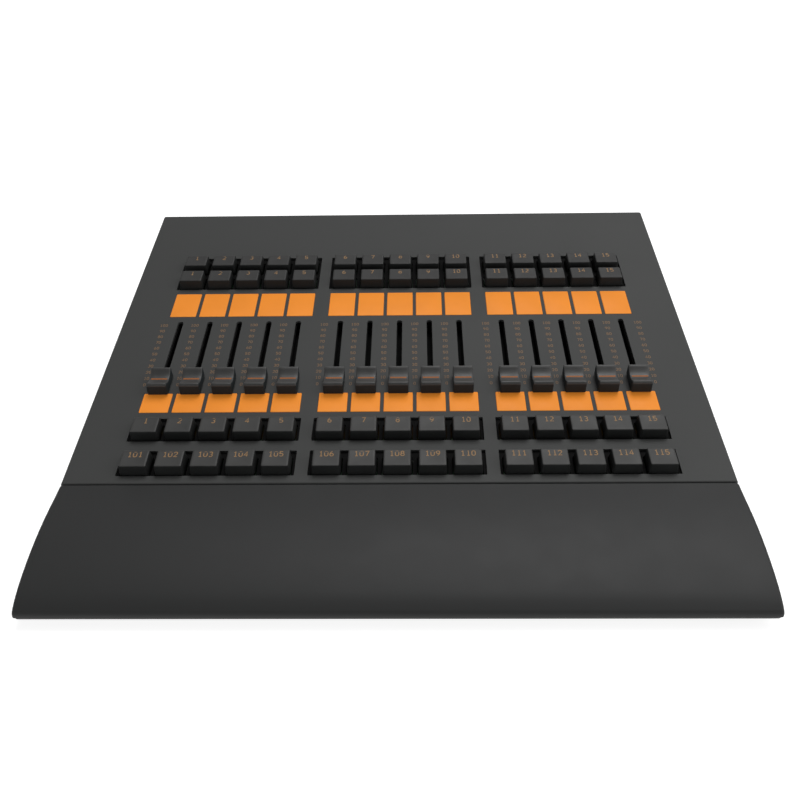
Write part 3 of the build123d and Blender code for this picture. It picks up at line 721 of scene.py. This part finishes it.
# ------------------------------------------------------------------ printed fader scales
verts, faces = [], []
columns = []
for g in range(3):
    first = (g - 1) * GROUP_PITCH - 40.0
    columns += [first - 10.9] + [first + 10.0 + 20.0 * k for k in range(4)]
columns = sorted(set(round(x, 3) for x in columns))
columns.append(CHANNELS[-1] + 10.9)
for u in columns:
    for k in range(11):
        add_text(verts, faces, str(k * 10), 2.7, u, 83.0 + 6.0 * k, 0.0, thick=0.05, stretch=0.9)
scales = new_object("printed_scales", verts, faces, [M["scale"]], sharp=30.0)
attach(scales, "desk")


# ------------------------------------------------------------------ rear details: contact blades, contacts, rocker marks
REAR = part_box("rear_panel")[1].y / MM  # outer face of the rear panel
SWITCH_X, INLET_X, DATA_X, SOCKET_Z, DATA_Z = 92.0, 130.0, -128.0, 34.0, 31.0


def slab(verts, faces, lo, hi, nip=0.0):
    """A box between two corners (mm), its rear end narrowed by nip."""
    base = len(verts)
    for y, q in ((lo[1], 0.0), (hi[1] - nip, 0.0), (hi[1], nip)):
        for x, z in ((lo[0] + q, lo[2] + q), (hi[0] - q, lo[2] + q), (hi[0] - q, hi[2] - q), (lo[0] + q, hi[2] - q)):
            verts.append(Vector((x, y, z)) * MM)
    for r in (0, 4):
        for k in range(4):
            j = (k + 1) % 4
            faces.append((base + r + k, base + r + 4 + k, base + r + 4 + j, base + r + j))
    faces.append((base, base + 1, base + 2, base + 3))
    faces.append((base + 11, base + 10, base + 9, base + 8))


verts, faces = [], []
for dx, dz in ((0.0, 3.2), (7.0, -0.8), (-7.0, -0.8)):
    x, z = INLET_X + dx, SOCKET_Z + dz
    slab(verts, faces, (x - 1.04, REAR - 16.4, z - 2.04), (x + 1.04, REAR - 4.44, z + 2.04), 0.45)
blades = new_object("inlet_blades", verts, faces, [M["contact"]], sharp=30.0)
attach(blades, "desk")
verts, faces = [], []
for k in range(8):
    x = DATA_X + (k - 3.5) * 1.02
    slab(verts, faces, (x - 0.17, REAR - 11.4, DATA_Z - 2.95), (x + 0.17, REAR - 1.6, DATA_Z - 2.6), 0.1)
contacts = new_object("socket_contacts", verts, faces, [M["gilt"]], sharp=30.0)
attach(contacts, "desk")


def rocker_point(x, a, b):
    """A point of the rocker's own profile (mm from its pin) at rest."""
    c, s = math.cos(math.radians(7.0)), math.sin(math.radians(7.0))
    return Vector((SWITCH_X + x, REAR - 3.0 + a * c + b * s, SOCKET_Z - a * s + b * c)) * MM


def rocker_mark(verts, faces, outline, inner=None):
    """A thin mark on a face of the rocker, from points (x, b) across it."""
    def put(x, b, lift):
        a = 2.9 + 1.6 * abs(b) / 7.1
        return rocker_point(x, a + lift, b)

    loops = [outline] if inner is None else [outline, inner]
    base = len(verts)
    count = len(outline)
    for loop in loops:
        for lift in (-0.03, 0.05):
            for x, b in loop:
                verts.append(put(x, b, lift))
    for k in range(count):
        j = (k + 1) % count
        faces.append((base + k, base + j, base + count + j, base + count + k))
        if inner is not None:
            faces.append((base + count + k, base + count + j, base + 3 * count + j, base + 3 * count + k))
            faces.append((base + 3 * count + k, base + 3 * count + j, base + 2 * count + j, base + 2 * count + k))
    if inner is None:
        faces.append(tuple(base + count + k for k in range(count)))


verts, faces = [], []
rocker_mark(verts, faces, [(-0.28, 2.2), (0.28, 2.2), (0.28, 5.2), (-0.28, 5.2)])
ring_out = [(1.35 * math.cos(k * math.pi / 16), -3.7 + 1.35 * math.sin(k * math.pi / 16)) for k in range(32)]
ring_in = [(0.95 * math.cos(k * math.pi / 16), -3.7 + 0.95 * math.sin(k * math.pi / 16)) for k in range(32)]
rocker_mark(verts, faces, ring_out, ring_in)
marks = new_object("rocker_marks", verts, faces, [M["white"]], sharp=30.0)
bm = bmesh.new()
bm.from_mesh(marks.data)
bmesh.ops.recalc_face_normals(bm, faces=bm.faces)
bm.to_mesh(marks.data)
bm.free()
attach(marks, "power_rocker")


# ------------------------------------------------------------------ CAD nodes that keep their shape
KEEP = {
    "top_cover": "cover",
    "palm_rest": "palm",
    "base_plate": "plate",
    "rear_panel": "plate",
    "label_light_guides": "guide",
    "key_bezels": "bezel",
    "key_switches": "black",
    "fader_tracks": "bezel",
    "control_board": "board",
    "board_pillars": "brass",
    "main_board": "board",
    "power_supply": "steel",
    "ribbon_cable": "ribbon",
    "mains_inlet": "black",
    "power_switch_housing": "black",
    "power_rocker": "black",
    "data_socket": "black",
    "rubber_feet": "rubber",
    "case_screws": "screw",
}
for node, key in KEEP.items():
    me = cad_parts[node].data
    me.materials.clear()
    me.materials.append(M[key])


# ------------------------------------------------------------------ floor, light
def floor():
    me = bpy.data.meshes.new("floor")
    k = 8.0
    me.from_pydata([(-k, -k, 0), (k, -k, 0), (k, k, 0), (-k, k, 0)], [], [(0, 1, 2, 3)])
    o = bpy.data.objects.new("floor", me)
    scene.collection.objects.link(o)
    t = Tree("floor_white")
    t.set(color=(0.5, 0.5, 0.5, 1.0), rough=0.9, spec=0.0, emit=(1.0, 1.0, 1.0, 1.0), emit_strength=0.85)
    me.materials.append(t.m)


def area(name, at, to, size, power, shape="RECTANGLE"):
    d = bpy.data.lights.new(name, "AREA")
    d.shape = shape
    d.size, d.size_y = size
    d.energy = power
    o = bpy.data.objects.new(name, d)
    o.location = at
    o.rotation_euler = (Vector(to) - Vector(at)).to_track_quat("-Z", "Y").to_euler()
    scene.collection.objects.link(o)
    return o


floor()
world = bpy.data.worlds.new("world")
world.use_nodes = True
wt = world.node_tree
back = wt.nodes["Background"]
way = wt.nodes.new("ShaderNodeTexCoord")
split = wt.nodes.new("ShaderNodeSeparateXYZ")
wall = wt.nodes.new("ShaderNodeValToRGB")
wt.links.new(way.outputs["Generated"], split.inputs["Vector"])
wt.links.new(split.outputs["Z"], wall.inputs["Fac"])
levels = ((0.0, 0.95), (0.12, 0.9), (0.36, 0.3), (0.7, 0.12))
stops = wall.color_ramp.elements
while len(stops) < len(levels):
    stops.new(0.5)
for el, (pos, level) in zip(stops, levels):
    el.position, el.color = pos, (level, level, level, 1)
wt.links.new(wall.outputs["Color"], back.inputs["Color"])
back.inputs["Strength"].default_value = 1.0
scene.world = world
sky = bpy.data.lights.new("overhead", "SUN")
sky.energy, sky.angle = 1.72, math.radians(36.0)
overhead = bpy.data.objects.new("overhead", sky)
overhead.location = (0.35, 0.82, 2.0)
overhead.rotation_euler = (Vector((0, 0, 0)) - overhead.location).to_track_quat("-Z", "Y").to_euler()
scene.collection.objects.link(overhead)
area("side", (1.05, -0.12, 0.95), (0.1, 0, 0), (0.9, 0.9), 4.7)

# ------------------------------------------------------------------ final view layer update
bpy.context.view_layer.update()
